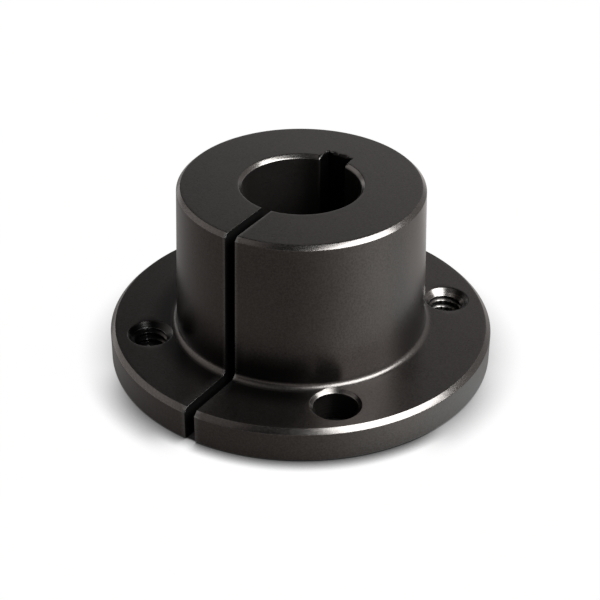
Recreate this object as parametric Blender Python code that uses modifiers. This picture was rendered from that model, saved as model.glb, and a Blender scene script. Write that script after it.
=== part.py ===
"""Quick disconnect bushing: one piece of turned, drilled, broached and sawn steel.

A round flange carries a tapered barrel. The bushing slides on a shaft, a key in its keyway
takes the torque, and bolts through the flange draw the barrel into a tapered hub. The saw
cut through one side lets the barrel close on the shaft as the taper squeezes it.

The frame is in metres with +Z up. The origin is the centre of the flange's back face, the
axis runs up +Z to the barrel's small end, the saw cut opens to -Y and the keyway to +Y.
"""

import math

import bpy
from mathutils import Matrix, Vector

MM = 0.001
INCH = 0.0254

# Flange
FLANGE_DIAMETER = 2.5 * INCH
FLANGE_THICKNESS = 5.75 * MM
FLANGE_FRONT_CHAMFER = 0.8 * MM
FLANGE_BACK_CHAMFER = 0.25 * MM

# Tapered barrel, which loses 3/4 in of diameter for each foot of its length. Its large
# diameter is where its cone would meet the flange.
OVERALL_LENGTH = 31.0 * MM
BARREL_LARGE_DIAMETER = 41.46 * MM
BARREL_END_CHAMFER = 0.64 * MM
ROOT_FILLET_RADIUS = 1.05 * MM
TAPER = 0.75 / 12.0

# Bore and keyway, where half of a square key sits in the bushing
BORE_DIAMETER = 0.75 * INCH
BORE_CHAMFER = 0.58 * MM
KEY_SIZE = 0.1875 * INCH
KEY_TOP_CLEARANCE = 0.13 * MM

# Saw cut through one side
SPLIT_WIDTH = 1.8 * MM

# Bolt holes: a clearance pair and a tapped pair for the same screw share one bolt circle,
# and the rim wall is the metal between a clearance hole and the flange's rim
SCREW_DIAMETER = 0.25 * INCH
THREAD_PITCH = INCH / 20.0
SCREW_CLEARANCE = 0.03125 * INCH
RIM_WALL = 0.109375 * INCH
CLEARANCE_COUNTERSINK_WIDTH = 0.53 * MM
TAPPED_COUNTERSINK_WIDTH = 1.2 * MM
COUNTERSINK_ANGLE = math.radians(90.0)
COUNTERSINK_TOOL_MARGIN = 0.3 * MM

# Directions about the axis, counterclockwise from +X
SPLIT_DIRECTION = math.radians(270.0)
KEYWAY_DIRECTION = SPLIT_DIRECTION - math.radians(180.0)
CLEARANCE_HOLE_DIRECTIONS = (SPLIT_DIRECTION + math.radians(45.0), SPLIT_DIRECTION - math.radians(135.0))
TAPPED_HOLE_DIRECTIONS = (SPLIT_DIRECTION - math.radians(45.0), SPLIT_DIRECTION + math.radians(135.0))

# Facets of the round surfaces
BODY_STEPS = 144
HOLE_STEPS = 48
FILLET_STEPS = 8

# How far a cutter runs past the surface that it opens
OVERSHOOT = 2.0 * MM
MERGE_DISTANCE = 0.00001
SHARP_EDGE_ANGLE = math.radians(30.0)

# Sizes that follow
CLEARANCE_HOLE_DIAMETER = SCREW_DIAMETER + SCREW_CLEARANCE
TAP_DRILL_DIAMETER = SCREW_DIAMETER - THREAD_PITCH
BOLT_CIRCLE_DIAMETER = FLANGE_DIAMETER - 2 * RIM_WALL - CLEARANCE_HOLE_DIAMETER
FLANGE_RADIUS = FLANGE_DIAMETER / 2
BARREL_SLOPE = TAPER / 2
BORE_RADIUS = BORE_DIAMETER / 2
KEYWAY_SIDE_DEPTH = KEY_SIZE / 2 + KEY_TOP_CLEARANCE
KEYWAY_FLOOR_DISTANCE = math.sqrt(BORE_RADIUS ** 2 - (KEY_SIZE / 2) ** 2) + KEYWAY_SIDE_DEPTH


def barrel_radius(height):
    """Radius of the barrel's cone at a height above the flange's back face."""
    return BARREL_LARGE_DIAMETER / 2 - BARREL_SLOPE * (height - FLANGE_THICKNESS)


def root_fillet():
    """Points down the fillet that joins the barrel's cone to the flange's front face.

    The arc is tangent to the cone and to the face. Its centre lies one radius above the
    face and one radius out from the cone, measured square to the cone's side.
    """
    lean = math.atan(BARREL_SLOPE)
    centre_height = FLANGE_THICKNESS + ROOT_FILLET_RADIUS
    centre_radius = barrel_radius(centre_height) + ROOT_FILLET_RADIUS / math.cos(lean)
    first = math.pi + lean
    last = 1.5 * math.pi
    points = []
    for step in range(FILLET_STEPS + 1):
        angle = first + (last - first) * step / FILLET_STEPS
        radius = centre_radius + ROOT_FILLET_RADIUS * math.cos(angle)
        height = centre_height + ROOT_FILLET_RADIUS * math.sin(angle)
        points.append((radius, height))
    return points


def body_outline():
    """Half section of the turned blank, as (radius, height) down its outer side and up its bore."""
    chamfer_start = OVERALL_LENGTH - BARREL_END_CHAMFER
    barrel_end = [
        (BORE_RADIUS + BORE_CHAMFER, OVERALL_LENGTH),
        (barrel_radius(OVERALL_LENGTH) - BARREL_END_CHAMFER, OVERALL_LENGTH),
        (barrel_radius(chamfer_start), chamfer_start),
    ]
    flange = [
        (FLANGE_RADIUS - FLANGE_FRONT_CHAMFER, FLANGE_THICKNESS),
        (FLANGE_RADIUS, FLANGE_THICKNESS - FLANGE_FRONT_CHAMFER),
        (FLANGE_RADIUS, FLANGE_BACK_CHAMFER),
        (FLANGE_RADIUS - FLANGE_BACK_CHAMFER, 0.0),
    ]
    bore = [
        (BORE_RADIUS + BORE_CHAMFER, 0.0),
        (BORE_RADIUS, BORE_CHAMFER),
        (BORE_RADIUS, OVERALL_LENGTH - BORE_CHAMFER),
    ]
    return barrel_end + root_fillet() + flange + bore


def hole_outline(hole_diameter, countersink_width):
    """Half section of a hole through the flange, countersunk from both faces.

    The countersinking tool is a little wider than the cone that it leaves in the face. It
    comes down beside the barrel, so its straight side runs up past the barrel's end, and it
    nicks the root fillet where a hole comes close to the barrel.
    """
    hole_radius = hole_diameter / 2
    tool_radius = hole_radius + countersink_width + COUNTERSINK_TOOL_MARGIN
    rise_per_radius = 1.0 / math.tan(COUNTERSINK_ANGLE / 2)
    depth = countersink_width * rise_per_radius
    tool_rise = COUNTERSINK_TOOL_MARGIN * rise_per_radius
    return [
        (0.0, OVERALL_LENGTH + OVERSHOOT),
        (tool_radius, OVERALL_LENGTH + OVERSHOOT),
        (tool_radius, FLANGE_THICKNESS + tool_rise),
        (hole_radius, FLANGE_THICKNESS - depth),
        (hole_radius, depth),
        (tool_radius, -tool_rise),
        (tool_radius, -OVERSHOOT),
        (0.0, -OVERSHOOT),
    ]


def clear_scene():
    """Remove every object, so that the file holds the bushing alone."""
    for obj in list(bpy.data.objects):
        bpy.data.objects.remove(obj, do_unlink=True)


def new_collection(name):
    """Add a collection to the scene."""
    collection = bpy.data.collections.new(name)
    bpy.context.scene.collection.children.link(collection)
    return collection


def black_oxide_steel():
    """Dark, warm grey chemical blacking on machined steel, with a half gloss."""
    material = bpy.data.materials.new("black oxide steel")
    material.use_nodes = True
    shader = material.node_tree.nodes["Principled BSDF"]
    shader.inputs["Base Color"].default_value = (0.030, 0.028, 0.027, 1.0)
    shader.inputs["Metallic"].default_value = 0.85
    shader.inputs["Roughness"].default_value = 0.38
    return material


def turned(name, outline, closed, steps, collection):
    """Turn an outline of (radius, height) points about the Z axis with a Screw modifier."""
    points = [(radius, 0.0, height) for radius, height in outline]
    edges = [(index, index + 1) for index in range(len(points) - 1)]
    if closed:
        edges.append((len(points) - 1, 0))
    mesh = bpy.data.meshes.new(name)
    mesh.from_pydata(points, edges, [])
    piece = bpy.data.objects.new(name, mesh)
    collection.objects.link(piece)
    screw = piece.modifiers.new("turning", "SCREW")
    screw.axis = "Z"
    screw.angle = 2 * math.pi
    screw.steps = steps
    screw.render_steps = steps
    screw.use_merge_vertices = True
    screw.merge_threshold = MERGE_DISTANCE
    return piece


def mark_as_cutter(piece):
    """Show a cutter as wires, and keep it out of renders."""
    piece.display_type = "WIRE"
    piece.hide_render = True


def slab_cutter(name, direction, reach, width, collection):
    """Upright slab from the axis out to a reach in one direction, taller than the bushing."""
    height = OVERALL_LENGTH + 2 * OVERSHOOT
    bpy.ops.mesh.primitive_cube_add(size=1.0)
    slab = bpy.context.active_object
    slab.name = name
    slab.data.transform(Matrix.Translation((0.5, 0.0, 0.5)))
    slab.data.transform(Matrix.Diagonal((reach, width, height, 1.0)))
    slab.rotation_euler.z = direction
    slab.location.z = -OVERSHOOT
    for home in list(slab.users_collection):
        home.objects.unlink(slab)
    collection.objects.link(slab)
    mark_as_cutter(slab)
    return slab


def hole_cutter(name, direction, outline, collection):
    """Turned cutter for one hole, standing on the bolt circle in its direction."""
    cutter = turned(name, outline, False, HOLE_STEPS, collection)
    cutter.location = Matrix.Rotation(direction, 3, "Z") @ Vector((BOLT_CIRCLE_DIAMETER / 2, 0.0, 0.0))
    mark_as_cutter(cutter)
    return cutter


def make_cutters(collection):
    """Saw blade, keyway broach and the four drills, in the order in which they cut."""
    cutters = [
        slab_cutter("split cutter", SPLIT_DIRECTION, FLANGE_RADIUS + OVERSHOOT, SPLIT_WIDTH, collection),
        slab_cutter("keyway cutter", KEYWAY_DIRECTION, KEYWAY_FLOOR_DISTANCE, KEY_SIZE, collection),
    ]
    clearance_outline = hole_outline(CLEARANCE_HOLE_DIAMETER, CLEARANCE_COUNTERSINK_WIDTH)
    for direction in CLEARANCE_HOLE_DIRECTIONS:
        cutters.append(hole_cutter("clearance hole cutter", direction, clearance_outline, collection))
    tapped_outline = hole_outline(TAP_DRILL_DIAMETER, TAPPED_COUNTERSINK_WIDTH)
    for direction in TAPPED_HOLE_DIRECTIONS:
        cutters.append(hole_cutter("tapped hole cutter", direction, tapped_outline, collection))
    return cutters


def cut(body, cutter):
    """Take a cutter's volume away from the body."""
    boolean = body.modifiers.new(cutter.name, "BOOLEAN")
    boolean.operation = "DIFFERENCE"
    boolean.solver = "EXACT"
    boolean.object = cutter


def finish_surface(body):
    """Settle the modifiers into the mesh, shade it smooth and keep its machined edges crisp."""
    evaluated = body.evaluated_get(bpy.context.evaluated_depsgraph_get())
    finished = bpy.data.meshes.new_from_object(evaluated)
    body.modifiers.clear()
    body.data = finished
    finished.name = body.name
    finished.shade_smooth()
    finished.set_sharp_from_angle(angle=SHARP_EDGE_ANGLE)


def build():
    """Turn the blank, then saw, broach and drill it."""
    clear_scene()
    parts = new_collection("quick disconnect bushing")
    cutters = new_collection("bushing cutters")
    bushing = turned("bushing", body_outline(), True, BODY_STEPS, parts)
    bushing.data.materials.append(black_oxide_steel())
    for cutter in make_cutters(cutters):
        cut(bushing, cutter)
    finish_surface(bushing)


build()
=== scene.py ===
# %% [markdown]
# # A quick disconnect bushing in black oxide steel
#
# A quick disconnect bushing holds a pulley or a sprocket on a shaft. Its barrel is slightly
# tapered and sawn through on one side, so that it closes on the shaft when two screws pull it
# into a tapered hub. The real one is turned from a single piece of steel, then drilled, tapped,
# broached, sawn and blackened.
#
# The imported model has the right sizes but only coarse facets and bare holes. This lesson makes
# one closed, fine surface with small machined edges and real screw threads, and gives it the
# look of oiled black oxide.

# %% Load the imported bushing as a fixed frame
import math

import bmesh
import bpy
import numpy as np
from mathutils import Matrix, Vector


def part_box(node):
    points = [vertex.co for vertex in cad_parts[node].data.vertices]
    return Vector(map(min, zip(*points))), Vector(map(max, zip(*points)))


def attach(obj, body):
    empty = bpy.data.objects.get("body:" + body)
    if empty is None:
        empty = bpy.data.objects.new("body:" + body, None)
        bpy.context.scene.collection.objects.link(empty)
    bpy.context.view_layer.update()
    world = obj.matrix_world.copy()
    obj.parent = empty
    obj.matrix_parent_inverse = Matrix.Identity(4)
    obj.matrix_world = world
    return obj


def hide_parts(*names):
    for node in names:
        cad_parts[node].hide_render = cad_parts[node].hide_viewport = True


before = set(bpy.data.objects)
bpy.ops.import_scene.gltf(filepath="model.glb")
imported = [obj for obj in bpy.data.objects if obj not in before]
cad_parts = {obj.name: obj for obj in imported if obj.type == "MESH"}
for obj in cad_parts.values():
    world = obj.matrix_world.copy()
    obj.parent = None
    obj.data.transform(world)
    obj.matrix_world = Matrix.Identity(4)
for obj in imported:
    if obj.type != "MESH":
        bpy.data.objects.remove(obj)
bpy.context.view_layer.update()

low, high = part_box("bushing")
print("bushing, lowest and highest corners in mm:", [round(v * 1000, 2) for v in (*low, *high)])

# %% [markdown]
# ## Sizes
#
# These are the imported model's own sizes. Everything is worked out in millimetres, which are
# easier to read, and becomes metres in the finished mesh. The origin is the middle of the
# flange's back face, +Z runs up the bore, the saw cut opens to -Y and the keyway to +Y.

# %% Sizes of the bushing, in millimetres
MM = 0.001
FLANGE_RADIUS = 31.75
FLANGE_THICKNESS = 5.75
FLANGE_FRONT_CHAMFER = 0.8
FLANGE_BACK_CHAMFER = 0.25
LENGTH = 31.0
BARREL_LARGE_RADIUS = 20.73
BARREL_SLOPE = 1.0 / 32.0
BARREL_END_CHAMFER = 0.64
ROOT_FILLET = 1.05
BORE_RADIUS = 9.525
BORE_CHAMFER = 0.58
KEYWAY_HALF_WIDTH = 4.7625 / 2
KEYWAY_FLOOR = 11.7338
SAW_HALF_WIDTH = 0.9
BOLT_CIRCLE_RADIUS = 25.4

# %% Sizes of the four holes, by quadrant from the saw cut: clearance, tapped, clearance, tapped
HOLE_ANGLES = np.radians([-45.0, 45.0, 135.0, 225.0])
HOLE_RADII = (3.572, 2.54, 3.572, 2.54)
COUNTERSINK_WIDTHS = (0.53, 1.2, 0.53, 1.2)
TAPPED = (False, True, False, True)
TOOL_MARGIN = 0.08
THREAD_RADIUS = 3.175
THREAD_PITCH = 1.27

# The picture's right, and the direction away from its camera, in the bushing's own frame
RIGHT = (0.843, 0.537, 0.0)
BACK = (-0.537, 0.843, 0.0)


def barrel_radius(height):
    """Radius of the barrel's cone: it loses 1/32 of each millimetre of height."""
    return BARREL_LARGE_RADIUS - BARREL_SLOPE * (height - FLANGE_THICKNESS)


print("barrel radius at its end:", round(barrel_radius(LENGTH), 3), "mm")

# %% [markdown]
# ## The half section
#
# A lathe makes every round surface of the bushing from one half section. Turned with a Screw
# modifier, a plain polygon would leave every edge perfectly sharp, and a machined edge never
# is: it catches a thin line of light. So a small arc replaces each corner. The outward normals
# are kept too, because the saw cut's rounded edges need them later.

# %% A closed line with an arc at each corner
EDGE_ROUND = 0.2


def rounded_section(corners, radii, arc_steps, side_fractions):
    """Points and outward normals round a closed half section, given as (radius, height).

    At a corner the line turns by an angle t. An arc of radius q touches both sides at a
    distance q tan(|t| / 2) from the corner. Its points are the centre minus or plus q times
    the normal, and the normal turns evenly from one side's to the other's. Each straight side
    then gets points at the given fractions of its length.
    """
    corners = np.array(corners, float)
    count = len(corners)
    along = np.roll(corners, -1, axis=0) - corners
    along /= np.linalg.norm(along, axis=1)[:, None]
    points, normals, starts = [], [], []
    arcs = []
    for k in range(count):
        before, after = along[k - 1], along[k]
        turn = math.atan2(before[0] * after[1] - before[1] * after[0], before @ after)
        reach = radii[k] * math.tan(abs(turn) / 2)
        left = np.array([-before[1], before[0]])
        angles = np.linspace(0.0, turn, arc_steps[k] + 1)
        normal = np.stack([left[0] * np.cos(angles) - left[1] * np.sin(angles),
                           left[0] * np.sin(angles) + left[1] * np.cos(angles)], axis=1)
        side = math.copysign(1.0, turn)
        centre = corners[k] - reach * before + side * radii[k] * left
        arcs.append((centre - side * radii[k] * normal, normal))
    for k in range(count):
        arc, normal = arcs[k]
        starts.append(sum(len(part) for part in points))
        points.append(arc)
        normals.append(normal)
        inner = np.array(side_fractions[k])[:, None]
        points.append(arc[-1] + inner * (arcs[(k + 1) % count][0][0] - arc[-1]))
        normals.append(np.repeat(normal[-1:], len(inner), axis=0))
    return np.concatenate(points), np.concatenate(normals), starts


def even(steps):
    """Fractions that split a side into equal steps, without its two ends."""
    return np.arange(1, steps) / steps


# %% The bushing's half section, from the back face up the bore and round
FILLET_STEPS = 12
RING_RADIUS = 20.0
end_radius = barrel_radius(LENGTH)
chamfer_foot = LENGTH - BARREL_END_CHAMFER
section_corners = [
    (BORE_RADIUS + BORE_CHAMFER, 0.0), (BORE_RADIUS, BORE_CHAMFER),
    (BORE_RADIUS, LENGTH - BORE_CHAMFER), (BORE_RADIUS + BORE_CHAMFER, LENGTH),
    (end_radius - BARREL_END_CHAMFER, LENGTH), (barrel_radius(chamfer_foot), chamfer_foot),
    (BARREL_LARGE_RADIUS, FLANGE_THICKNESS), (FLANGE_RADIUS - FLANGE_FRONT_CHAMFER, FLANGE_THICKNESS),
    (FLANGE_RADIUS, FLANGE_THICKNESS - FLANGE_FRONT_CHAMFER), (FLANGE_RADIUS, FLANGE_BACK_CHAMFER),
    (FLANGE_RADIUS - FLANGE_BACK_CHAMFER, 0.0)]
corner_radii = [EDGE_ROUND] * 6 + [ROOT_FILLET] + [EDGE_ROUND] * 4
corner_steps = [3, 3, 3, 4, 4, 4, FILLET_STEPS, 4, 4, 3, 3]

# The back face's points must include the ring at RING_RADIUS, where its pattern changes
outer_end = FLANGE_RADIUS - FLANGE_BACK_CHAMFER - EDGE_ROUND * math.tan(math.pi / 8)
inner_end = BORE_RADIUS + BORE_CHAMFER + EDGE_ROUND * math.tan(math.pi / 8)
back_radii = np.concatenate([np.linspace(outer_end, RING_RADIUS, 15)[1:],
                             np.linspace(RING_RADIUS, inner_end, 9)[1:-1]])
back_fractions = (outer_end - back_radii) / (outer_end - inner_end)
side_fractions = [even(3), even(16), even(3), even(24), even(2), even(26), even(14), even(2), even(8), even(1),
                  back_fractions]
section, section_normals, arc_starts = rounded_section(section_corners, corner_radii, corner_steps, side_fractions)
side_starts = [start + steps for start, steps in zip(arc_starts, corner_steps)]
print("half section:", len(section), "points")

# %% [markdown]
# ## Columns round the axis
#
# The surface is a grid: rows follow the half section and columns go round the axis from one
# edge of the saw cut to the other. The cut's walls are parallel planes, so the first and last
# columns can't be radial lines: at a radius r the sine of their angle is half the cut's width
# over r. The columns are closer together in the middle of each quadrant, where a countersink
# nicks the root fillet.

# %% Angles of the columns at any radius
COLUMNS = 72
SAW_EDGE_ROUND = 0.04
saw_edge = SAW_HALF_WIDTH + SAW_EDGE_ROUND
spread = np.linspace(-1.0, 1.0, COLUMNS + 1)
column_fractions = 0.5 + 0.5 * (0.6 * spread + 0.4 * spread ** 3)


def quadrant_angles(quadrant, radius, fractions=column_fractions):
    """Angles of one quadrant's columns at each radius, as an array of radius by column.

    An angle is the quadrant's first one plus a fraction of its span. Beside the saw cut the
    span is shortened by the arcsine of the cut's half width over the radius.
    """
    radius = np.asarray(radius, float)
    if radius.ndim == 1:
        radius = radius[:, None]
    gap = np.arcsin(saw_edge / radius)
    first = math.radians(90.0 * (quadrant - 1)) + (gap if quadrant == 0 else 0.0)
    span = math.radians(90.0) - (gap if quadrant in (0, 3) else 0.0)
    return first + span * fractions + 0.0 * radius


def ring_angles(radius):
    """Angles of all the columns, the four quadrants side by side without doubled ones."""
    parts = [quadrant_angles(q, radius) for q in range(4)]
    return np.concatenate([parts[0]] + [part[:, 1:] for part in parts[1:]], axis=1)


def around(radius, angle, height):
    """Points at a radius, an angle about the axis and a height."""
    radius, angle, height = np.broadcast_arrays(radius, angle, height)
    return np.stack([radius * np.cos(angle), radius * np.sin(angle), height], axis=-1)


print("columns:", 4 * COLUMNS + 1, "- finest step", round(90 * np.diff(column_fractions).min(), 2), "degrees")

# %% [markdown]
# ## Bore and keyway
#
# The keyway is broached: a toothed bar is pulled through the bore and leaves a square groove.
# It could be cut with a Boolean, but the cut would leave thin triangles and knife edges. Here
# the columns simply follow the bore, turn up the keyway's side, cross its floor and come down
# again. Two short curves round the corners, and near both ends the groove widens by a quarter
# circle, so that its edges on the faces are rounded too.

# %% Outline of the bore with its keyway, at any radius
KEY_EDGE_ROUND = 0.1
KEY_CORNER = 0.3
KEY_FLOOR_CORNER = 0.22
KEY_STEPS = (36, 4, 10, 4)


def curve_between(start, control, end, steps):
    """Quadratic curve that leaves start towards the control point and arrives at end from it."""
    t = np.linspace(0.0, 1.0, steps + 1)[:, None]
    return (1 - t) ** 2 * start[..., None, :] + 2 * t * (1 - t) * control[..., None, :] + t ** 2 * end[..., None, :]


def straight(start, end, steps):
    """Evenly spaced points from start to end."""
    t = np.linspace(0.0, 1.0, steps + 1)[:, None]
    return start[..., None, :] + t * (end - start)[..., None, :]


def keyed_quadrant(radius, widening):
    """The bore's outline from +X to the middle of the keyway, as (x, y) for each radius.

    An arc of the bore, a rounded corner, the keyway's side, its floor corner and half of its
    floor, each with its own number of columns.
    """
    side = KEYWAY_HALF_WIDTH + widening
    floor = KEYWAY_FLOOR + widening
    last = np.arccos(side / radius) - KEY_CORNER / radius
    arc_angles = last[:, None] * np.linspace(0.0, 1.0, KEY_STEPS[0] + 1)
    arc = np.stack([radius[:, None] * np.cos(arc_angles), radius[:, None] * np.sin(arc_angles)], axis=-1)
    corner_height = np.sqrt(radius ** 2 - side ** 2)
    corner = np.stack([side, corner_height], axis=-1)
    side_foot = np.stack([side, corner_height + KEY_CORNER], axis=-1)
    side_top = np.stack([side, floor - KEY_FLOOR_CORNER], axis=-1)
    floor_corner = np.stack([side, floor], axis=-1)
    floor_start = np.stack([side - KEY_FLOOR_CORNER, floor], axis=-1)
    middle = np.stack([0.0 * side, floor], axis=-1)
    parts = [arc, curve_between(arc[:, -1], corner, side_foot, KEY_STEPS[1])[:, 1:],
             straight(side_foot, side_top, KEY_STEPS[2])[:, 1:],
             curve_between(side_top, floor_corner, floor_start, KEY_STEPS[3])[:, 1:],
             straight(floor_start, middle, COLUMNS - sum(KEY_STEPS))[:, 1:]]
    return np.concatenate(parts, axis=1)


def bore_ring(radius, height):
    """Rows of the whole bore, from the saw cut round through the keyway and back to the cut."""
    overlap = np.maximum(height - (LENGTH - KEY_EDGE_ROUND), KEY_EDGE_ROUND - height).clip(0.0, KEY_EDGE_ROUND)
    widening = KEY_EDGE_ROUND - np.sqrt(KEY_EDGE_ROUND ** 2 - overlap ** 2)
    right = keyed_quadrant(radius, widening)
    left = right[:, ::-1] * np.array([-1.0, 1.0])
    first = around(radius[:, None], quadrant_angles(0, radius), 0.0)[..., :2]
    last = around(radius[:, None], quadrant_angles(3, radius), 0.0)[..., :2]
    flat = np.concatenate([first, right[:, 1:], left[:, 1:], last[:, 1:]], axis=1)
    return np.concatenate([flat, np.broadcast_to(height[:, None, None], flat.shape[:2] + (1,))], axis=-1)


patches = {}
bore = section[:side_starts[3] + 1]
patches["bore and keyway"] = bore_ring(bore[:, 0], bore[:, 1])
print("bore and keyway:", patches["bore and keyway"].shape[:2], "points")

# %% [markdown]
# ## Chips along the keyway
#
# A broach tears small crumbs out of the edge where it leaves the steel, so the keyway's upper
# edge is ragged. A displacement texture would roughen the whole wall. Here only the edge
# moves: each column near it is pushed outwards by its own seeded random amount, less and less
# further down.

# %% Chips that the broach tears out of the keyway's upper edge
CHIP_DEPTH = 0.45
CHIP_HEIGHT = 0.5
CHIP_AVERAGES = 4
CHIP_THRESHOLD = 0.24
CHIP_FULL = 0.6
chance = np.random.default_rng(7)


def chipped_edge(rows):
    """Push the keyway's outline outwards near the end face, by a seeded random amount.

    Each column draws a random number, which is squared and averaged with its neighbours until
    a chip is several columns wide. The push is 0 up to CHIP_THRESHOLD and grows evenly to
    CHIP_DEPTH at CHIP_FULL. It fades out below the end face as the square of the height left.
    """
    rows = rows.copy()
    top = rows[-1]
    outside = np.hypot(top[:, 0], top[:, 1]) - (BORE_RADIUS + BORE_CHAMFER)
    keyway_shade = (np.abs(top[:, 0]) < KEYWAY_HALF_WIDTH + 0.3) & (top[:, 1] > 0) & (outside > 0.15)
    push = chance.random(len(top)) ** 2
    for _ in range(CHIP_AVERAGES):
        push = 0.25 * np.roll(push, 1) + 0.5 * push + 0.25 * np.roll(push, -1)
    push = np.clip((push - CHIP_THRESHOLD) / (CHIP_FULL - CHIP_THRESHOLD), 0.0, 1.0) * CHIP_DEPTH * keyway_shade
    along = np.roll(top, -1, axis=0) - np.roll(top, 1, axis=0)
    away = np.stack([along[:, 1], -along[:, 0]], axis=1)
    away /= np.maximum(np.linalg.norm(away, axis=1), 1e-9)[:, None]
    fade = np.clip(1 - (LENGTH - rows[:, :, 2]) / CHIP_HEIGHT, 0.0, 1.0) ** 2
    rows[:, :, :2] += (fade * push)[..., None] * away
    return rows


even_edge = patches["bore and keyway"][-1]
patches["bore and keyway"] = chipped_edge(patches["bore and keyway"])
moved = np.linalg.norm(patches["bore and keyway"][-1] - even_edge, axis=1)
print("deepest chip:", round(float(moved.max()), 2), "mm")

# %% [markdown]
# ## End face and the inner part of the back face
#
# Both are flat rings between the keyed bore and a circle. A point's radius and its share of
# the quadrant go evenly from outline to circle, so the rows bend gently round the keyway and
# stay straight at the saw cut.


# %% Flat rings round the keyed bore
def quadrant_share(points, quadrant):
    """Where points stand between the first and last angle of their quadrant, from 0 to 1."""
    radius = np.hypot(points[:, 0], points[:, 1])
    ends = quadrant_angles(quadrant, radius, np.array([0.0, 1.0]))
    angle = np.arctan2(points[:, 1], points[:, 0])
    turns = np.round((ends.mean(axis=1) - angle) / (2 * math.pi))
    return (angle + 2 * math.pi * turns - ends[:, 0]) / (ends[:, 1] - ends[:, 0])


def flat_ring(outline, radii):
    """Rows between a keyed outline, for the smallest of the radii, and a circle of the largest."""
    outer_radius = radii.max()
    weights = (radii - radii.min()) / (outer_radius - radii.min())
    rows = []
    for q in range(4):
        inner = outline[q * COLUMNS:(q + 1) * COLUMNS + 1]
        inner_radius = np.hypot(inner[:, 0], inner[:, 1])
        share = quadrant_share(inner, q)
        w = weights[:, None]
        radius = inner_radius + w * (outer_radius - inner_radius)
        angle = quadrant_angles(q, radius, share + w * (column_fractions - share))
        rows.append(around(radius, angle, inner[0, 2])[:, (1 if q else 0):])
    return np.concatenate(rows, axis=1)


end_face = section[side_starts[3]:arc_starts[4] + 1]
patches["end face"] = flat_ring(patches["bore and keyway"][-1], end_face[:, 0])
ring_row = side_starts[10] + 14
back_ring = np.concatenate([section[ring_row:], section[:1]])
patches["back face inside"] = flat_ring(patches["bore and keyway"][0], back_ring[:, 0])
print("ring at", round(float(section[ring_row, 0]), 4), "mm")

# %% [markdown]
# ## Outside of the barrel and the nicked fillet
#
# A fillet joins the barrel to the flange. The countersinking tool is wide enough to touch it,
# so each hole takes a small bite out of it. Where a column meets the bite, its rows stop at the
# tool's side. The stopping point has no simple formula, so it is found by halving: the part of
# the fillet's arc that holds it is cut in two again and again, for all columns at once.

# %% The countersinking tool and the fillet above it
HOLE_EDGE_ROUND = 0.15
HALVINGS = 40
edge_reach = HOLE_EDGE_ROUND * math.tan(math.pi / 8)
countersink_radii = [radius + width for radius, width in zip(HOLE_RADII, COUNTERSINK_WIDTHS)]


def tool_radius(rise, hole):
    """Radius of the tool at a rise above the face: it widens one for one, up to its own size."""
    return np.minimum(countersink_radii[hole] + edge_reach + rise, countersink_radii[hole] + TOOL_MARGIN)


fillet = section[arc_starts[6]:side_starts[6] + 1]
fillet_normals = section_normals[arc_starts[6]:side_starts[6] + 1]
fillet_centre = fillet[-1] + ROOT_FILLET * fillet_normals[-1]
fillet_turn = math.atan2(fillet_normals[0, 0], fillet_normals[0, 1])


def fillet_point(turn):
    """Radius and height on the fillet: turn is 0 on the flange's face and grows up the barrel."""
    return fillet_centre[0] - ROOT_FILLET * np.sin(turn), fillet_centre[1] - ROOT_FILLET * np.cos(turn)


def distance_to_hole(radius, angle, hole):
    """Distance from a hole's axis, by the law of cosines."""
    across = 2 * radius * BOLT_CIRCLE_RADIUS * np.cos(angle - HOLE_ANGLES[hole])
    return np.sqrt(np.maximum(radius ** 2 + BOLT_CIRCLE_RADIUS ** 2 - across, 0.0))


def halving(inside, low, high):
    """Halve a range again and again, keeping the half where inside turns from true to false."""
    for _ in range(HALVINGS):
        middle = (low + high) / 2
        is_inside = inside(middle)
        low = np.where(is_inside, middle, low)
        high = np.where(is_inside, high, middle)
    return high


def fillet_foot(hole):
    """Turn at which each column of a quadrant leaves the fillet: 0, or more inside a bite."""
    def in_tool(turn):
        radius, height = fillet_point(turn)
        angle = np.diagonal(quadrant_angles(hole, radius))
        return distance_to_hole(radius, angle, hole) < tool_radius(height - FLANGE_THICKNESS, hole)

    start = np.zeros(COLUMNS + 1)
    return np.where(in_tool(start), halving(in_tool, start, start + fillet_turn), 0.0)


feet = [fillet_foot(q) for q in range(4)]
foot_turn = np.concatenate([feet[0]] + [foot[1:] for foot in feet[1:]])
print("columns in the four bites:", [int((foot > 0).sum()) for foot in feet])

# %% Rows of the barrel, then of the fillet
barrel = section[arc_starts[4]:arc_starts[6] + 1]
patches["barrel"] = around(barrel[:, :1], ring_angles(barrel[:, 0]), barrel[:, 1:])
steps_down = np.linspace(0.0, 1.0, FILLET_STEPS + 1)[:, None]
turns = fillet_turn + steps_down * (foot_turn - fillet_turn)
fillet_radius, fillet_height = fillet_point(turns)
column_of = np.arange(4 * COLUMNS + 1)
fillet_angles = np.stack([ring_angles(row)[column_of, column_of] for row in fillet_radius])
patches["fillet"] = around(fillet_radius, fillet_angles, fillet_height)
rim = section[arc_starts[7]:side_starts[10] + 1]
patches["rim"] = around(rim[:, :1], ring_angles(rim[:, 0]), rim[:, 1:])
print("fillet turns through", round(math.degrees(fillet_turn), 2), "degrees")

# %% [markdown]
# ## Flange faces with their holes
#
# Round each hole the grid changes: spokes run from the hole's edge to the border of its
# quadrant. The spokes are straight in radius and angle, not in x and y, because a quadrant is
# then a plain rectangle and no spoke can cut across the barrel's foot. Inside a bite the border
# is the hole's edge itself, so those spokes shrink to a point and the weld takes them away.

# %% Border of a quadrant, and spokes from the hole to it
SPOKE_STEPS = 8
spoke_steps = (np.arange(SPOKE_STEPS + 1) / SPOKE_STEPS) ** 1.25


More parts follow.
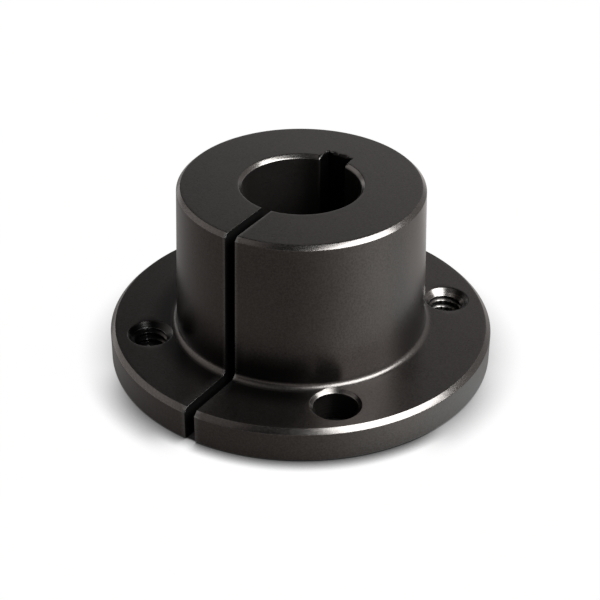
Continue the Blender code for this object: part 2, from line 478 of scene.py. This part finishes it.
def border(quadrant, inner, side_radii, outer_radius):
    """Radius, angle and height round a quadrant, inner arc first and then counterclockwise.

    inner holds the radius, angle and height of the inner arc's points.
    """
    height = inner[2][0]
    ends = quadrant_angles(quadrant, side_radii, np.array([0.0, 1.0]))
    outer = quadrant_angles(quadrant, np.array([outer_radius]))[0]
    radius = np.concatenate([inner[0], side_radii[1:], np.full(COLUMNS, outer_radius), side_radii[::-1][1:]])
    angle = np.concatenate([inner[1], ends[1:, 1], outer[::-1][1:], ends[::-1, 0][1:]])
    heights = np.concatenate([inner[2], np.full(len(radius) - COLUMNS - 1, height)])
    return radius, angle, heights


def spokes(start_radius, start_angle, start_height, radius, angle, height):
    """Grid of points, even in radius and angle, from the hole's edge to the border."""
    t = spoke_steps[:, None]
    return around(start_radius + t * (radius - start_radius), start_angle + t * (angle - start_angle),
                  start_height + t * (height - start_height))


def hole_edge(hole, radius, angle, bitten):
    """How far along each spoke the hole's edge lies, found by halving as above."""
    def in_hole(share):
        r = BOLT_CIRCLE_RADIUS + share * (radius - BOLT_CIRCLE_RADIUS)
        a = HOLE_ANGLES[hole] + share * (angle - HOLE_ANGLES[hole])
        return distance_to_hole(r, a, hole) < countersink_radii[hole] + edge_reach

    start = np.zeros(len(radius))
    return np.where(bitten, 1.0, halving(in_hole, start, start + 1.0))


# %% Front and back faces of the flange
front = section[side_starts[6]:arc_starts[7] + 1]
back_outer = section[side_starts[10]:ring_row + 1][::-1]
hole_edges = []
for q in range(4):
    columns = slice(q * COLUMNS, (q + 1) * COLUMNS + 1)
    inner = (fillet_radius[-1, columns], fillet_angles[-1, columns], fillet_height[-1, columns])
    radius, angle, height = border(q, inner, front[:, 0], front[-1, 0])
    height[COLUMNS + 1:] = FLANGE_THICKNESS
    bitten = np.zeros(len(radius), bool)
    bitten[:COLUMNS + 1] = feet[q] > 0
    share = hole_edge(q, radius, angle, bitten)
    edge_radius = BOLT_CIRCLE_RADIUS + share * (radius - BOLT_CIRCLE_RADIUS)
    edge_angle = HOLE_ANGLES[q] + share * (angle - HOLE_ANGLES[q])
    patches[f"front face {q}"] = spokes(edge_radius, edge_angle, height, radius, angle, height)
    centre = around(BOLT_CIRCLE_RADIUS, HOLE_ANGLES[q], 0.0)[:2]
    offset = patches[f"front face {q}"][0][:, :2] - centre
    direction = np.arctan2(offset[:, 1], offset[:, 0])
    hole_edges.append((centre, direction, np.hypot(offset[:, 0], offset[:, 1]), height))
    ring = (np.full(COLUMNS + 1, RING_RADIUS), quadrant_angles(q, np.array([RING_RADIUS]))[0], np.zeros(COLUMNS + 1))
    radius, angle, height = border(q, ring, back_outer[:, 0], back_outer[-1, 0])
    reach = countersink_radii[q] + edge_reach
    edge = centre + reach * np.stack([np.cos(direction), np.sin(direction)], axis=1)
    turned = np.arctan2(edge[:, 1], edge[:, 0])
    turned += 2 * math.pi * np.round((HOLE_ANGLES[q] - turned) / (2 * math.pi))
    patches[f"back face {q}"] = spokes(np.hypot(edge[:, 0], edge[:, 1]), turned, 0.0, radius, angle, height)
print("spokes round each hole:", len(radius) - 1)

# %% [markdown]
# ## Hole walls and screw threads
#
# The clearance holes are plain drilled holes with a small countersink at each end. The other
# two are tapped, so that the same screws can push the bushing off its hub. A thread is a
# groove in the wall: the wall's radius depends on the height and the direction together, and
# going round once shifts the groove by one pitch. The countersink is a cone, and the wall is
# wherever the wider of the two is.


# %% The thread's shape
def thread_depth(phase):
    """How deep the groove is, from 0 on the crest to 1 at the bottom, over one pitch.

    A trapezoid: the crest takes a quarter of the pitch, the bottom an eighth, and two straight
    flanks lie between. Its corners are softened by a smooth minimum and maximum.
    """
    ramp = (np.abs(phase - 0.5) - 0.125) / 0.3125
    soft = 0.07
    low_end = 0.5 * (ramp + np.sqrt(ramp ** 2 + soft ** 2))
    return 0.5 * (low_end + 1.0 - np.sqrt((low_end - 1.0) ** 2 + soft ** 2))


def thread_wall(height, direction, start):
    """Radius of a right-hand internal thread: the phase grows with height and falls with turn."""
    phase = np.mod((height - start) / THREAD_PITCH - direction / (2 * math.pi), 1.0)
    minor = HOLE_RADII[1]
    return minor + (THREAD_RADIUS - minor) * thread_depth(phase)


# %% Walls of the four holes
THREAD_ROWS = 84
THREAD_STARTS = (0.0, 0.0, 0.0, 0.35)


def hole_wall(hole):
    """Rows down a hole: its rounded upper edge, the wall and its rounded lower edge.

    The wall's radius is the largest of the drilled or threaded wall and the two 45 degree
    cones. The edges are quadratic curves, which also close a bite up to the fillet.
    """
    centre, direction, edge_distance, edge_height = hole_edges[hole]
    cone = countersink_radii[hole]
    drop = edge_reach * math.sqrt(0.5)
    top = np.stack([edge_distance, edge_height], axis=-1)
    control = np.broadcast_to([cone, FLANGE_THICKNESS], top.shape)
    foot = np.broadcast_to([cone - drop, FLANGE_THICKNESS - drop], top.shape)
    upper = np.swapaxes(curve_between(top, control, foot, 3), 0, 1)
    corners = np.array([[cone - drop, drop], [cone, 0.0], [cone + edge_reach, 0.0]])
    lower = upper * 0 + curve_between(*corners, 3)[:, None]
    first, last = FLANGE_THICKNESS - drop, drop
    if TAPPED[hole]:
        heights = np.linspace(first, last, THREAD_ROWS + 1)[1:-1]
    else:
        depth = COUNTERSINK_WIDTHS[hole]
        heights = np.concatenate([np.linspace(first, FLANGE_THICKNESS - depth, 4)[1:],
                                  np.linspace(FLANGE_THICKNESS - depth, depth, 9)[1:],
                                  np.linspace(depth, last, 4)[1:-1]])
    heights = heights[:, None] + 0.0 * direction
    wall = thread_wall(heights, direction, THREAD_STARTS[hole]) if TAPPED[hole] else HOLE_RADII[hole] + 0.0 * heights
    wall = np.maximum(wall, np.maximum(cone - (FLANGE_THICKNESS - heights), cone - heights))
    distance = np.concatenate([upper[..., 0], wall, lower[..., 0]])
    height = np.concatenate([upper[..., 1], heights, lower[..., 1]])
    return np.stack([centre[0] + distance * np.cos(direction),
                     centre[1] + distance * np.sin(direction), height], axis=-1)


for q in range(4):
    patches[f"hole wall {q}"] = hole_wall(q)
print("rows down a tapped hole:", len(patches["hole wall 1"]))

# %% [markdown]
# ## The saw cut
#
# A slitting saw leaves two flat walls and slightly rough edges. Each wall is closed by carrying
# the half section a little way into the cut: over a quarter circle it moves inwards along its
# normals while it moves sideways to the wall. The last loop lies in the wall's plane and is
# filled with one flat face.

# %% Rounded edges and walls of the saw cut
SAW_EDGE_STEPS = 3


def saw_wall(side):
    """Rows from the last column to the wall: inwards by e(1 - cos b), sideways by e(1 - sin b)."""
    b = np.linspace(0.0, math.pi / 2, SAW_EDGE_STEPS + 1)[:, None, None]
    closed = np.concatenate([section, section[:1]])
    normals = np.concatenate([section_normals, section_normals[:1]])
    moved = closed - normals * SAW_EDGE_ROUND * (1 - np.cos(b))
    x = (SAW_HALF_WIDTH + SAW_EDGE_ROUND * (1 - np.sin(b[..., 0]))) + 0.0 * moved[..., 0]
    return np.stack([side * x, -np.sqrt(moved[..., 0] ** 2 - x ** 2), moved[..., 1]], axis=-1)


patches["saw wall right"] = saw_wall(1.0)
patches["saw wall left"] = saw_wall(-1.0)
print("saw cut is", 2 * round(float(patches["saw wall right"][-1, 0, 0]), 4), "mm wide")

# %% [markdown]
# ## One closed surface
#
# The patches share their border points, because both sides work them out with the same
# formula. They are put into one mesh and the doubled points are welded. A closed surface has
# two faces at every edge, so that is counted.


# %% Weld the patches
def grid_faces(rows, columns, first):
    """Corner numbers of a grid's quads, as an array of four numbers each."""
    corner = (np.arange(rows - 1)[:, None] * columns + np.arange(columns - 1)).ravel() + first
    return np.stack([corner, corner + 1, corner + columns + 1, corner + columns], axis=1)


vertices, faces, total = [], [], 0
for patch in patches.values():
    rows, columns = patch.shape[:2]
    vertices.append(patch.reshape(-1, 3))
    faces += grid_faces(rows, columns, total).tolist()
    total += rows * columns
for name in ("saw wall right", "saw wall left"):
    loop = patches[name][-1][:-1]
    faces.append(list(range(total, total + len(loop))))
    vertices.append(loop)
    total += len(loop)
mesh = bpy.data.meshes.new("bushing_surface")
mesh.from_pydata(np.concatenate(vertices) * MM, [], faces)

welder = bmesh.new()
welder.from_mesh(mesh)
bmesh.ops.remove_doubles(welder, verts=welder.verts, dist=0.0002 * MM)
bmesh.ops.recalc_face_normals(welder, faces=welder.faces)
open_edges = sum(1 for edge in welder.edges if len(edge.link_faces) != 2)
volume = welder.calc_volume(signed=True)
welder.to_mesh(mesh)
welder.free()
triangles = sum(len(face.vertices) - 2 for face in mesh.polygons)
print("open edges:", open_edges, "- triangles:", triangles, "- volume:", round(volume * 1e6, 3), "cm3")

# %% [markdown]
# ## Smooth shading, worn edges and chamfers
#
# The turned surfaces are shaded smooth, and an edge stays sharp where two faces meet at more
# than 28 degrees. Weighted normals keep the wide flat faces truly flat beside the narrow
# rounded edges.
#
# Blacking rubs off first where an edge sticks out. How far a point sticks out can be measured:
# the neighbours of a point on a ridge lie behind its tangent plane. The material reads the
# measure as an attribute. On the chamfers the tool leaves the steel smoother and the blacking
# takes less, so a second attribute marks them.


# %% How sharply the surface turns outwards
def of_vertices(surface, field):
    """A field of every vertex, such as its place, as an array of three numbers each."""
    values = np.empty(len(surface.vertices) * 3)
    surface.vertices.foreach_get(field, values)
    return values.reshape(-1, 3)


def edge_sharpness(surface):
    """For each vertex, the mean over its edges of (normal . step) / length squared, in 1/mm.

    The step leads to the neighbour. The sign is turned, so that a ridge counts as positive.
    """
    place = of_vertices(surface, "co") / MM
    normal = of_vertices(surface, "normal")
    count = len(place)
    ends = np.empty(len(surface.edges) * 2, int)
    surface.edges.foreach_get("vertices", ends)
    a, b = ends.reshape(-1, 2).T
    step = place[b] - place[a]
    length = np.maximum((step ** 2).sum(axis=1), 1e-6)
    total = np.zeros(count)
    edges_at = np.bincount(ends, minlength=count)
    np.add.at(total, a, -(normal[a] * step).sum(axis=1) / length)
    np.add.at(total, b, (normal[b] * step).sum(axis=1) / length)
    value = (total / np.maximum(edges_at, 1)).clip(0.0)
    for _ in range(2):
        spread_out = np.zeros(count)
        np.add.at(spread_out, a, value[b])
        np.add.at(spread_out, b, value[a])
        value = 0.5 * value + 0.5 * spread_out / np.maximum(edges_at, 1)
    return value


WORN_SHARPNESS = 2.5
edge_wear = np.clip(edge_sharpness(mesh) / WORN_SHARPNESS, 0.0, 1.0)
wear = mesh.attributes.new("edge_wear", "FLOAT", "POINT")
wear.data.foreach_set("value", edge_wear.astype(np.float32))
print("mean edge wear:", round(float(edge_wear.mean()), 3))


# %% Chamfers and countersinks
def on_chamfer(surface):
    """1 for each vertex whose normal leans about 45 degrees, outside the root fillet, else 0."""
    slope = np.abs(of_vertices(surface, "normal")[:, 2])
    x, y, z = of_vertices(surface, "co").T / MM
    radius = np.hypot(x, y)
    in_fillet = (radius < BARREL_LARGE_RADIUS + ROOT_FILLET + 0.1) & (radius > 15) & (z < 10)
    return ((slope > 0.6) & (slope < 0.8) & ~in_fillet).astype(np.float32)


thin_blacking = on_chamfer(mesh)
thin = mesh.attributes.new("thin_blacking", "FLOAT", "POINT")
thin.data.foreach_set("value", thin_blacking)
print("vertices on chamfers:", int(thin_blacking.sum()))


# %% The bushing's object
SHARP_ANGLE = 28.0


def add_object(name, data):
    """Make an object of some data and put it in the scene."""
    made = bpy.data.objects.new(name, data)
    bpy.context.scene.collection.objects.link(made)
    return made


bushing = add_object("blackened_bushing", mesh)
mesh.shade_smooth()
mesh.set_sharp_from_angle(angle=math.radians(SHARP_ANGLE))
weighted = bushing.modifiers.new("flat faces stay flat", "WEIGHTED_NORMAL")
weighted.keep_sharp = True
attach(bushing, "root")
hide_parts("bushing")
print(bushing.name, "has", len(mesh.vertices), "vertices")

# %% [markdown]
# ## Writing shader maths as expressions
#
# Long node graphs are hard to read, so a small class wraps one output of a node. Adding or
# multiplying two of them adds a Math node, and every other kind of node comes from one method.


# %% One output of a node, with operators
class Output:
    """An output socket. Arithmetic on it makes Math nodes in the same material."""

    def __init__(self, tree, socket=None):
        self.tree = tree
        self.socket = socket

    def node(self, kind, settings=None, sockets=None, output=0):
        """Add a node: its settings first, then the values or links of its input sockets."""
        made = self.tree.nodes.new(kind)
        for name, value in (settings or {}).items():
            setattr(made, name, value)
        for name, value in (sockets or {}).items():
            if isinstance(value, Output):
                self.tree.links.new(value.socket, made.inputs[name])
            else:
                made.inputs[name].default_value = value
        return Output(self.tree, made.outputs[output])

    def feed(self, socket):
        """Link this output to an input socket."""
        self.tree.links.new(self.socket, socket)

    def math(self, operation, first, second=0.0):
        """A Math node on one or two numbers or outputs."""
        return self.node("ShaderNodeMath", {"operation": operation}, {0: first, 1: second})

    def __add__(self, other):
        return self.math("ADD", self, other)

    def __radd__(self, other):
        return self.math("ADD", other, self)

    def __sub__(self, other):
        return self.math("SUBTRACT", self, other)

    def __rsub__(self, other):
        return self.math("SUBTRACT", other, self)

    def __mul__(self, other):
        return self.math("MULTIPLY", self, other)

    def __rmul__(self, other):
        return self.math("MULTIPLY", other, self)

    def __pow__(self, other):
        return self.math("POWER", self, other)

    def maximum(self, other):
        """The larger of the two."""
        return self.math("MAXIMUM", self, other)

    def absolute(self):
        """The value without its sign."""
        return self.math("ABSOLUTE", self)

    def vector(self, operation, sockets=None, output=0):
        """A Vector Math node on this vector."""
        return self.node("ShaderNodeVectorMath", {"operation": operation}, {0: self, **(sockets or {})}, output)

    def along(self, direction):
        """How far this vector reaches in a direction: their dot product."""
        return self.vector("DOT_PRODUCT", {1: direction}, 1)

    def noise(self, scale, detail, roughness=0.5):
        """A noise pattern from 0 to 1, read at this vector."""
        return self.node("ShaderNodeTexNoise", None,
                         {"Vector": self, "Scale": scale, "Detail": detail, "Roughness": roughness})

    def within(self, low, high):
        """0 below low, 1 above high, and smooth between them."""
        return self.node("ShaderNodeMapRange", {"interpolation_type": "SMOOTHSTEP"},
                         {"Value": self, "From Min": low, "From Max": high})

    def below(self, low, high):
        """1 below low, 0 above high, and smooth between them."""
        return 1.0 - self.within(low, high)

    def colour_to(self, first, second):
        """The first colour where this is 0 and the second where it is 1."""
        return self.node("ShaderNodeMix", {"data_type": "RGBA"}, {0: self, 6: first, 7: second}, 2)


def new_material(name):
    """A material, its shader, and a place to start its graph from."""
    made = bpy.data.materials.new(name)
    made.use_nodes = True
    return made, made.node_tree.nodes["Principled BSDF"], Output(made.node_tree)


# %% [markdown]
# ## Black oxide
#
# The blacking is a thin layer of iron oxide that drinks in oil. It reflects little but evenly,
# so the steel looks near black with clean, half-glossy lights. What gives it life is small:
# fine rings left by the lathe, a faint cloudiness where the blacking took better or worse, a
# salt-like grain, and edges where it has worn thin.
#
# The rings need a pattern that is long round the axis and very fine across. A noise is read at
# the radius and the height, which change fast across a ring, and at a direction scaled down to
# almost nothing, which changes slowly along it.

# %% Lathe rings, clouds and grain
RINGS_PER_MM = 5.2
GRAINS_PER_MM = 3.6
CLOUDS_PER_MM = 0.16
DRILL_RINGS_PER_MM = 5.0
black_oxide, shader, start = new_material("black_oxide_steel")
place = start.node("ShaderNodeTexCoord", output=3)
in_mm = place.vector("SCALE", {"Scale": 1.0 / MM})
x, y, z = (start.node("ShaderNodeSeparateXYZ", None, {0: in_mm}, k) for k in range(3))
radius = (x * x + y * y) ** 0.5
direction = start.node("ShaderNodeCombineXYZ", None, {0: x, 1: y}).vector("NORMALIZE")
across = start.node("ShaderNodeCombineXYZ", None, {0: radius * RINGS_PER_MM, 1: z * RINGS_PER_MM})
rings = direction.vector("MULTIPLY_ADD", {1: (2.0, 2.0, 0.0), 2: across}).noise(1.0, 3.0, 0.6)
clouds = in_mm.noise(CLOUDS_PER_MM, 4.0, 0.55)
grain = in_mm.noise(GRAINS_PER_MM, 3.0)
drill_rings = start.node("ShaderNodeCombineXYZ", None, {2: z * DRILL_RINGS_PER_MM}).noise(1.0, 1.0)
print("one grain is about", round(1 / GRAINS_PER_MM, 2), "mm")

# %% [markdown]
# ## Places where the blacking differs, and where shade and light are painted
#
# It is thinner on the chamfers, most of all round the bore, where shafts are pushed in. On the
# bore's chamfer the lighter colour is also painted light, on all but its left end. The drill
# leaves fine rings in the clearance holes. Painted shade makes the darkest places: the saw cut
# and its left edge, the keyway, the left tapped hole, the right tapped hole's countersink, the
# roots of the threads, one side of the bore and of the front hole, and the corner round the
# barrel's foot on the left, where the shade falls.
#
# Each is a mask made from the position in millimetres: 1 inside, 0 outside and smooth between.
# Unlike a painted texture it stays sharp at any size.

# %% Masks of worn, thin and drilled places, and of painted light on the bore's chamfer
HOLE_OFFSET = BOLT_CIRCLE_RADIUS * math.sqrt(0.5)
across_x = x.absolute()
to_right = x * RIGHT[0] + y * RIGHT[1]
hole_x, hole_y = across_x - HOLE_OFFSET, y.absolute() - HOLE_OFFSET
from_hole = (hole_x * hole_x + hole_y * hole_y) ** 0.5
worn = start.node("ShaderNodeAttribute", {"attribute_name": "edge_wear"}, None, 2)
chamfer = start.node("ShaderNodeAttribute", {"attribute_name": "thin_blacking"}, None, 2)
cut_side = y.below(-1.0, 0.0)
saw_burr = across_x.within(SAW_HALF_WIDTH, SAW_HALF_WIDTH + 0.02) * across_x.below(1.0, 1.2) * cut_side
drilled = from_hole.below(HOLE_RADII[0] + 0.028, HOLE_RADII[0] + 0.228)
in_bore = radius.below(BORE_RADIUS + 0.075, BORE_RADIUS + 0.225)
# Painted light: the bore's chamfer is made lighter on all but its left end
bore_chamfer_light = chamfer * radius.below(10.2, 10.6) * to_right.within(-10.0, -7.0)
print("nodes with these masks:", len(start.tree.nodes))

# %% Masks of painted shade
# Painted shade in the saw cut, and at 0.8 along its left edge
left_saw_edge_shade = (x + 0.03).absolute().below(SAW_HALF_WIDTH, SAW_HALF_WIDTH + 0.03) * 0.8
saw_cut_shade = across_x.below(SAW_HALF_WIDTH - 0.02, SAW_HALF_WIDTH + 0.02).maximum(left_saw_edge_shade) * cut_side
# Painted shade in the keyway
keyway_shade = across_x.below(2.7, 2.9) * y.within(9.3, 9.6) * y.below(12.2, 12.4) * z.below(30.93, 30.99)
# Painted shade in the left tapped hole, weaker towards its right side
left_hole_shade = from_hole.below(3.5, 3.9) * to_right.below(-19.0, -18.0)
left_hole_shade = left_hole_shade * (1.0 - to_right.within(-23.98, -21.78) * 0.7)
# Painted shade at the roots of the threads in both tapped holes
thread_root_shade = from_hole.within(2.7, 2.95) * from_hole.below(3.25, 3.35) * (x * y).within(0.0, 1.0)
thread_root_shade = thread_root_shade * z.within(1.5, 1.7) * z.below(4.4, 4.7)
# Painted shade on the right tapped hole's countersink, at 0.75
right_cone_shade = from_hole.below(3.85, 3.95) * from_hole.within(3.0, 3.2) * to_right.within(24.0, 26.0) * 0.75
# Painted shade on the bore's right side, at 0.7
bore_right_shade = in_bore * to_right.within(-1.5, 2.0) * 0.7
# Painted shade on the right half of the front hole's wall, at 0.8
front_hole_shade = drilled * z.below(4.8, 5.2) * to_right.within(3.6, 5.6) * to_right.below(12.0, 14.0) * 0.8
# Painted shade: all the shaded places together
painted_shade = saw_cut_shade
for shaded_place in (keyway_shade, left_hole_shade, thread_root_shade, right_cone_shade, bore_right_shade, front_hole_shade):
    painted_shade = painted_shade.maximum(shaded_place)
# Painted shade in the corner round the barrel's foot on the left, and at a fifth of that on the fillet
on_fillet = z.below(6.7, 6.9) * radius.below(21.7, 21.9)
corner_shade = z.below(8.5, 12.5) * z.within(4.0, 5.0) * radius.below(22.5, 26.5) * radius.within(15.0, 16.0)
corner_shade = corner_shade * (1.0 - on_fillet * 0.8) * to_right.below(-2.0, 6.5)
print("nodes with the oily places:", len(start.tree.nodes))

# %% Colour of the blacking, with painted shade and painted light
THICK_BLACKING, THIN_BLACKING = (0.0514, 0.0442, 0.0409, 1.0), (0.057, 0.0494, 0.0456, 1.0)
PALE_GRAIN, SCRAPED_AND_LIT = (0.075, 0.066, 0.062, 1.0), (0.12, 0.108, 0.10, 1.0)
CORNER_SHADE_COLOUR, SHADE_COLOUR = (0.014, 0.012, 0.011, 1.0), (0.003, 0.0027, 0.0026, 1.0)
BARE_STEEL = (0.12, 0.115, 0.11, 1.0)
oxide = clouds.within(0.3, 0.75).colour_to(THICK_BLACKING, THIN_BLACKING)
speckled = (grain.within(0.35, 0.65) * 0.7 + chamfer * 0.3).colour_to(oxide, PALE_GRAIN)
# Scraped steel from the drill and the bore, and painted light on the bore's chamfer
scraped_and_lit = drilled * drill_rings.within(0.42, 0.58) * 0.6 + bore_chamfer_light * 0.5 + in_bore * 0.4
colour = scraped_and_lit.colour_to(speckled, SCRAPED_AND_LIT)
# Painted shade in the barrel's corner
colour = (corner_shade * 0.9).colour_to(colour, CORNER_SHADE_COLOUR)
# Painted shade in the recesses and on the sides listed above
colour = (painted_shade * 0.93).colour_to(colour, SHADE_COLOUR)
wear_and_edge_shade = (worn + (grain - 0.5) * 0.5).within(0.35, 0.95) * 0.7 + saw_burr * grain.within(0.45, 0.6) * 0.25
# Painted shade: less worn colour along the saw cut's left edge
wear_and_edge_shade = wear_and_edge_shade * (1.0 - 0.7 * across_x.below(0.97, 1.1) * cut_side * x.below(0.0, 0.1))
colour = wear_and_edge_shade.colour_to(colour, BARE_STEEL)
colour.feed(shader.inputs["Base Color"])
shader.inputs["Metallic"].default_value = 0.95
print("blacking reflects", THICK_BLACKING[0], "to", PALE_GRAIN[0], "of red light")

# %% Gloss and relief of the blacking
roughness = 0.31 + (rings - 0.5) * 0.10 + (clouds - 0.5) * 0.03 + (grain - 0.5) * 0.12
roughness = roughness - wear_and_edge_shade * 0.04 - chamfer * 0.07 + painted_shade * 0.06
roughness.feed(shader.inputs["Roughness"])
relief = rings * 0.5 + grain * 0.9 + drilled * drill_rings * 5.0
bump = relief.node("ShaderNodeBump", None, {"Strength": 0.08, "Distance": 0.02 * MM, "Height": relief})
bump.feed(shader.inputs["Normal"])
mesh.materials.append(black_oxide)
print("black oxide:", len(start.tree.nodes), "nodes")

# %% [markdown]
# ## The floor
#
# Lighting the floor white would burn out the steel's lights. So the floor is a pale plane that
# also glows, white for the camera. Close to the flange the glow fades with the amount of sky
# that each spot sees, which leaves a contact shadow: short and dark in front, long and soft at
# the sides.
#
# The steel mirrors the floor, which draws the light bands on the barrel and the rim. The
# mirrored floor is dim on the left and behind, and bright in front and at the right, where a
# studio's lamp lights the table.

# %% A pale floor
FLOOR_HALF_SIZE = 1500.0
GAP_UNDER_BUSHING = 0.05
floor_mesh = bpy.data.meshes.new("floor")
floor_corners = np.array([[-1, -1, 0], [1, -1, 0], [1, 1, 0], [-1, 1, 0]], float) * FLOOR_HALF_SIZE
floor_corners[:, 2] = -GAP_UNDER_BUSHING
floor_mesh.from_pydata(floor_corners * MM, [], [(0, 1, 2, 3)])
floor = add_object("pale_floor", floor_mesh)
pale, pale_shader, pale_start = new_material("pale_floor")
pale_shader.inputs["Roughness"].default_value = 1.0
pale_shader.inputs["Specular IOR Level"].default_value = 0.0
camera_ray = pale_start.node("ShaderNodeLightPath", output=0)
glossy_ray = pale_start.node("ShaderNodeLightPath", output=3)
spot = pale_start.node("ShaderNodeTexCoord", output=3)
from_axis = spot.vector("LENGTH", output=1) * (1.0 / MM)
outward = spot.vector("NORMALIZE")
spot_right, spot_back = outward.along(RIGHT), outward.along(BACK)
spot_front = 0.0 - spot_back
print("floor:", 2 * FLOOR_HALF_SIZE * MM, "m wide")

# %% Contact shadow, from the sky that a spot sees within a few millimetres
near_sky, side_sky, wide_sky = (
    pale_start.node("ShaderNodeAmbientOcclusion", {"samples": samples}, {"Distance": distance * MM}, 1)
    for distance, samples in ((2.6, 16), (6.0, 16), (14.0, 8)))
in_front = spot_front.within(0.7, 0.86)
at_side = 0.68 + spot_front.within(0.2, 0.65) * (0.9 + (0.0 - spot_right).within(0.0, 0.5) * 1.3)
contact = near_sky ** (in_front * 3.4) * side_sky ** (at_side * (1.0 - in_front))
print("floor nodes so far:", len(pale_start.tree.nodes))


# %% The floor as the steel mirrors it
def towards(right, back):
    """1 for spots in that direction from the axis, 0 for those at right angles or beyond."""
    return outward.along(tuple(right * r + back * b for r, b in zip(RIGHT, BACK))).maximum(0.0)


far_light = towards(0.891, -0.454) ** 5.0 * from_axis.within(36.0, 40.0) * 1.15
near_light = from_axis.below(38.0, 50.0) * (towards(0.669, -0.743) ** 7.0 * 1.5 + 0.05)
behind_right = spot_back.within(-0.1, 0.15) * 0.25 + spot_back.within(0.5, 0.8) * 0.35
behind_right = behind_right * spot_right.within(-0.1, 0.5)
lamp_light = far_light.maximum(near_light)
brightness = 0.40 + spot_back * 0.07 + behind_right * from_axis.within(36.5, 41.0) + lamp_light
beside_barrel = from_axis.below(35.0, 50.0) * spot_back.within(-0.1, 0.4) * 0.5
mirrored_glow = wide_sky * brightness * (1.0 - beside_barrel)
print("floor nodes so far:", len(pale_start.tree.nodes))

# %% The floor's glow
past_flange = from_axis.within(31.2, 31.6)
glow = past_flange * (camera_ray * contact * 0.98 + glossy_ray * mirrored_glow)
tint = lamp_light.within(0.0, 1.0).colour_to((1.0, 0.965, 0.94, 1.0), (0.95, 1.0, 1.0, 1.0))
white_or_tint = camera_ray.colour_to(tint, (1.0, 1.0, 1.0, 1.0))
shine = white_or_tint.vector("SCALE", {"Scale": glow})
pale_colour = glossy_ray.colour_to((0.15, 0.15, 0.15, 1.0), (0.1, 0.1, 0.1, 1.0))
pale_colour.feed(pale_shader.inputs["Base Color"])
shine.feed(pale_shader.inputs["Emission Color"])
pale_shader.inputs["Emission Strength"].default_value = 1.0
floor_mesh.materials.append(pale)
print("pale floor:", len(pale_start.tree.nodes), "nodes")

# %% [markdown]
# ## The room
#
# Glossy dark steel shows the room rather than the lamp. The room is a function of direction,
# worked out from what each face in the photograph mirrors: a grey ceiling that is lighter low
# down and at the right, a white card at the left, dimmer light above the card, and a light
# horizon. The camera itself sees plain white.

# %% What the steel mirrors, by direction
FOR_MATT_SURFACES = 0.15
world = bpy.data.worlds.new("studio")
bpy.context.scene.world = world
world.use_nodes = True
background = world.node_tree.nodes["Background"]
sky = Output(world.node_tree)
seen = sky.node("ShaderNodeLightPath", output=0)
mirrored = sky.node("ShaderNodeLightPath", output=3)
way = sky.node("ShaderNodeTexCoord", output=0)
rightwards, backwards = way.along(RIGHT), way.along(BACK)
leftwards = way.along(tuple(0.342 * b - 0.94 * r for r, b in zip(RIGHT, BACK)))
upwards = way.along((0.0, 0.0, 1.0))

ceiling = 0.46 + rightwards * 2.6 - (upwards - 0.5) * 3.5
ceiling = sky.node("ShaderNodeClamp", None, {0: ceiling, 1: 0.03, 2: 0.75})
left_card = leftwards.within(0.3, 0.9) * backwards.below(0.5, 0.75) * 1.3
above_card = leftwards.within(0.0, 0.5) * upwards.within(0.6, 0.75) * backwards.below(0.0, 0.3)
horizon = upwards.below(0.05, 0.32) * (1.0 + leftwards.within(0.5, 0.9))
horizon = horizon * (1.0 - rightwards.within(0.25, 0.55) * 0.35) * (1.0 - backwards.within(0.8, 0.97) * 0.4)
room = ceiling.maximum(horizon).maximum(left_card).maximum(above_card)
strength = seen + mirrored * room + (1.0 - seen) * (1.0 - mirrored) * FOR_MATT_SURFACES
strength.feed(background.inputs["Strength"])
background.inputs["Color"].default_value = (1.0, 1.0, 1.0, 1.0)
print("room:", len(world.node_tree.nodes), "nodes")

# %% [markdown]
# ## Lamps
#
# One soft box at the right, half way up, gives the white lights on chamfers, fillet and
# threads, and is seen only in reflections. A second one lights the matt part of the surface at
# a plain level. Both are linked to the bushing alone, so the floor's shadow stays even.


# %% Soft box
def soft_box(name, azimuth, elevation, distance, width, height, radiance):
    """An area light that faces the bushing, with sizes in metres and angles in degrees.

    Its power is the radiance wanted times pi times its area.
    """
    lamp = bpy.data.lights.new(name, "AREA")
    lamp.shape = "RECTANGLE"
    lamp.size, lamp.size_y = width, height
    lamp.energy = radiance * math.pi * width * height
    box = add_object(name, lamp)
    a, e = math.radians(azimuth), math.radians(elevation)
    spot = Vector((math.cos(a) * math.cos(e), math.sin(a) * math.cos(e), math.sin(e)))
    box.location = spot * distance
    box.rotation_euler = spot.to_track_quat("Z", "Y").to_euler()
    return box


key = soft_box("soft_box", -1.5, 44.0, 0.2, 0.194, 0.106, 25.0)
key.data.color = (0.90, 0.975, 1.0)
key.visible_diffuse = False
matt = soft_box("light_for_matt_surfaces", 2.5, 44.0, 0.5, 0.485, 0.265, 6.0)
matt.visible_glossy = False
lit_by_key = bpy.data.collections.new("lit by the soft box")
bpy.context.scene.collection.children.link(lit_by_key)
lit_by_key.objects.link(bushing)
for box in (key, matt):
    box.light_linking.receiver_collection = lit_by_key
    print(box.name, "with", round(box.data.energy, 1), "W")

# %% [markdown]
# ## Camera
#
# The camera was found by fitting the outlines in the photograph: a lens of 94 mm, 260 mm from
# the bushing and 33 degrees above its flange.

# %% Camera
ROLL = 0.006
lens = bpy.data.cameras.new("camera")
camera = add_object("camera", lens)
lens.sensor_fit = "HORIZONTAL"
lens.sensor_width = 36.0
lens.lens = 93.62
lens.shift_x = -0.0014
lens.clip_start = 0.01
camera.location = Vector((117.5, -184.4, 149.8)) * MM
aim = (Vector((0.0, 0.0, 8.884)) * MM - camera.location).to_track_quat("-Z", "Y")
camera.rotation_euler = (aim.to_matrix() @ Matrix.Rotation(ROLL, 3, "Z")).to_euler()
bpy.context.scene.camera = camera
bpy.context.scene.view_settings.view_transform = "Standard"
print("camera:", round(camera.location.length / MM), "mm from the origin")
